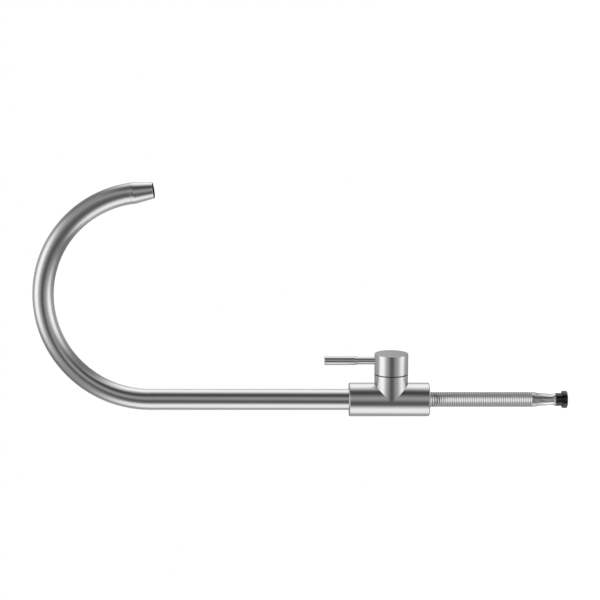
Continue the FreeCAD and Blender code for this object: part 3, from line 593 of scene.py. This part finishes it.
def spin_neck(mesh):
    """Bends the trumpet's curve, adds the rest of the neck and the bore to it, and spins the outline."""
    sweep = (TRUMPET_DROP**2 + TRUMPET_LENGTH**2) / (2 * TRUMPET_DROP)
    first = mesh.verts.new((THROAT_RADIUS + TRUMPET_DROP, 0, COLLAR_FOOT))
    bmesh.ops.spin(
        mesh,
        geom=[first],
        cent=(THROAT_RADIUS + sweep, 0, COLLAR_FOOT - TRUMPET_LENGTH),
        axis=ACROSS,
        angle=-math.asin(TRUMPET_LENGTH / sweep),
        steps=TRUMPET_STEPS,
    )
    last = min((v for v in mesh.verts), key=lambda v: v.co.z)
    chain(mesh, first, [(COLLAR_BEND_RADIUS, COLLAR_BEND), (COLLAR_RADIUS, COLLAR_TOP)])
    chain(mesh, last, [
        (WAIST_RADIUS, WAIST_FOOT),
        (NECK_END_RADIUS, NECK_END_TOP),
        (NECK_END_RADIUS, NECK_FOOT),
        (LIP_RADIUS, LIP_FOOT),
        (SPIGOT_RADIUS, LIP_FOOT),
        (SPIGOT_RADIUS, SPIGOT_FOOT),
        (TUBE_SOCKET_RADIUS, SPIGOT_FOOT),
        (TUBE_SOCKET_RADIUS, TUBE_STOP),
        (SHANK_BORE_RADIUS, TUBE_STOP),
        (SHANK_BORE_RADIUS, SHANK_TOP),
    ])
    bmesh.ops.spin(
        mesh,
        geom=mesh.verts[:] + mesh.edges[:],
        axis=UP,
        angle=2 * math.pi,
        steps=SHANK_SIDES,
        use_merge=True,
    )
    bmesh.ops.remove_doubles(mesh, verts=mesh.verts, dist=WELD)


def finished_piece(mesh, name, material, crease):
    """Turns a bmesh into an object with smooth faces that part at sharp edges."""
    data = bpy.data.meshes.new(name)
    mesh.to_mesh(data)
    mesh.free()
    data.shade_smooth()
    data.set_sharp_from_angle(angle=crease)
    data.materials.append(material)
    piece = bpy.data.objects.new(name, data)
    bpy.context.scene.collection.objects.link(piece)
    return piece


def make_shank():
    """Joins the thread and the neck into one closed piece."""
    neck = bmesh.new()
    spin_neck(neck)
    carried = bpy.data.meshes.new("neck")
    neck.to_mesh(carried)
    neck.free()
    mesh = bmesh.new()
    wind_thread(mesh)
    mesh.from_mesh(carried)
    bpy.data.meshes.remove(carried)
    within_wall = (SHANK_BORE_RADIUS + THREAD_RADIUS) / 2
    thread_top = [edge for edge in rim_at(mesh, SHANK_TOP) if edge.verts[0].co.xy.length > within_wall]
    bore_top = rim_at(mesh, SHANK_TOP, SHANK_BORE_RADIUS)
    thread_foot = rim_at(mesh, THREAD_FOOT)
    neck_top = rim_at(mesh, COLLAR_TOP, COLLAR_RADIUS)
    bmesh.ops.triangle_fill(mesh, edges=thread_top + bore_top, normal=UP, use_beauty=True)
    bmesh.ops.bridge_loops(mesh, edges=thread_foot + neck_top)
    bmesh.ops.recalc_face_normals(mesh, faces=mesh.faces)
    return finished_piece(mesh, "shank_with_thread", BY_SLOT["shank_steel"], SHARP_ANGLE)


shank = make_shank()
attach(shank, "body")
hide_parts("threaded_shank")


# Making the studio
def make_floor():
    """A white floor, which is clear from below and which reflections leave out."""
    material, finish = new_finish("studio_floor")
    path = finish.node("ShaderNodeLightPath", output="Is Camera Ray")
    behind = finish.node("ShaderNodeNewGeometry", output="Backfacing")
    glow = finish.node("ShaderNodeEmission", inputs={"Color": grey(1.0), "Strength": FLOOR_GLOW})
    seen = finish.node("ShaderNodeBsdfDiffuse", inputs={"Color": grey(FLOOR_TONE)})
    unseen = finish.node("ShaderNodeBsdfDiffuse", inputs={"Color": grey(FLOOR_BOUNCE)})
    clear = finish.node("ShaderNodeBsdfTransparent")
    front = finish.node("ShaderNodeAddShader", inputs={0: glow, 1: seen})
    above = finish.node("ShaderNodeMixShader", inputs={0: path, 1: unseen, 2: front})
    finish.show(finish.node("ShaderNodeMixShader", inputs={0: behind, 1: above, 2: clear}))
    mesh = bmesh.new()
    bmesh.ops.create_circle(
        mesh,
        cap_ends=True,
        segments=FLOOR_SIDES,
        radius=FLOOR_RADIUS,
        matrix=Matrix.Translation((0, 0, cad_low.z)),
    )
    floor = finished_piece(mesh, "studio_floor", material, math.pi)
    floor.visible_glossy = False
    return floor


def make_dome():
    """Soft light and dark flags all round, which only reflections see."""
    material, finish = new_finish("studio_dome")
    x, y, z = finish.place()
    front = -y
    ahead = front.larger(0.0) / DOME_RADIUS
    beside = x - ahead * (FRONT_MIDDLE * DOME_RADIUS)
    leaned = z - beside * ahead**FRONT_LEAN_POWER * FRONT_LEAN
    turn = finish.angle(x, front) - z * (SIDE_LEAN / DOME_RADIUS)
    tilt = finish.angle(leaned.size(), front) / math.pi
    over = finish.angle(z, -beside) * math.degrees(1.0)
    under = -over
    round_stops = [(0.5 + degrees / 360, tone / DOME_GAIN) for degrees, tone in ROUND_TONES]
    over_stops = [(degrees / 180, tone / DOME_GAIN) for degrees, tone in OVER_TONES]
    under_stops = [(degrees / 180, tone / DOME_GAIN) for degrees, tone in UNDER_TONES]
    round_tone = finish.node("ShaderNodeValToRGB", {"stops": round_stops}, {0: turn / (2 * math.pi) + 0.5})
    over_tone = finish.node("ShaderNodeValToRGB", {"stops": over_stops}, {0: tilt})
    under_tone = finish.node("ShaderNodeValToRGB", {"stops": under_stops}, {0: tilt})
    past_flag = (under + ahead * FLAG_TAIL).ramp(*CLEAR_OF_RIGHT_UNDER)
    past_softbox = (under - ahead * SOFTBOX_TAIL).ramp(*CLEAR_OF_LEFT_UNDER)
    clear_of_sides = over.span(*CLEAR_OF_SIDES_OVER) + past_softbox * (1 - past_flag)
    raised = ahead.ramp(*CORNER_AHEAD) * (z / DOME_RADIUS).ramp(*CORNER_RISE)
    tone = finish.blend(raised, grey(EDGE_TONE / DOME_GAIN), grey(CORNER_TONE / DOME_GAIN))
    tone = finish.blend(ahead.ramp(*FRONT_AHEAD), tone, grey(FRONT_TONE / DOME_GAIN))
    tone = finish.blend(clear_of_sides, round_tone, tone)
    tone = finish.blend(over.span(*OVER_SPAN), tone, over_tone)
    tone = finish.blend(under.span(*UNDER_SPAN), tone, under_tone)
    finish.show(finish.node("ShaderNodeEmission", inputs={"Color": tone, "Strength": DOME_GAIN}))
    mesh = bmesh.new()
    bmesh.ops.create_uvsphere(mesh, u_segments=DOME_SIDES, v_segments=DOME_RINGS, radius=DOME_RADIUS)
    dome = finished_piece(mesh, "studio_dome", material, math.pi)
    dome.visible_camera = False
    dome.visible_diffuse = False
    dome.visible_shadow = False
    dome.visible_transmission = False
    return dome


def make_world():
    """A white sky, which is dimmer as a light than where it is seen."""
    world = bpy.data.worlds.new("studio")
    world.use_nodes = True
    bpy.context.scene.world = world
    finish = Finish(world.node_tree)
    seen = [finish.node("ShaderNodeLightPath", output=ray) for ray in
            ("Is Camera Ray", "Is Glossy Ray", "Is Transmission Ray")]
    shown = seen[0].larger(seen[1]).larger(seen[2])
    strength = shown * (1.0 - SKY_FILL) + SKY_FILL
    sky = finish.node("ShaderNodeBackground", inputs={"Color": grey(1.0), "Strength": strength})
    finish.show(sky, "ShaderNodeOutputWorld")


def make_key():
    """A soft lamp, which reflections leave out."""
    lamp = bpy.data.lights.new("key_softbox", "AREA")
    lamp.size = KEY_SIDE
    lamp.energy = KEY_POWER
    key = bpy.data.objects.new("key_softbox", lamp)
    key.location = KEY_PLACE
    key.rotation_euler = (CAMERA_AIM - KEY_PLACE).to_track_quat("-Z", "Y").to_euler()
    key.visible_glossy = False
    bpy.context.scene.collection.objects.link(key)


def make_camera():
    """Looks at the faucet's side, with the picture's right down the shank."""
    back = Vector((math.sin(CAMERA_TURN), -math.cos(CAMERA_TURN), 0))
    right = -UP
    above = back.cross(right)
    camera = bpy.data.cameras.new("photograph")
    camera.lens = CAMERA_LENS
    camera.sensor_width = SENSOR_WIDTH
    holder = bpy.data.objects.new("photograph", camera)
    turn = Matrix((right, above, back)).transposed().to_4x4()
    holder.matrix_world = Matrix.Translation(CAMERA_AIM + back * CAMERA_DISTANCE) @ turn
    bpy.context.scene.collection.objects.link(holder)
    bpy.context.scene.camera = holder


make_floor()
make_dome()
make_world()
make_key()
make_camera()
bpy.context.scene.view_settings.view_transform = "Standard"
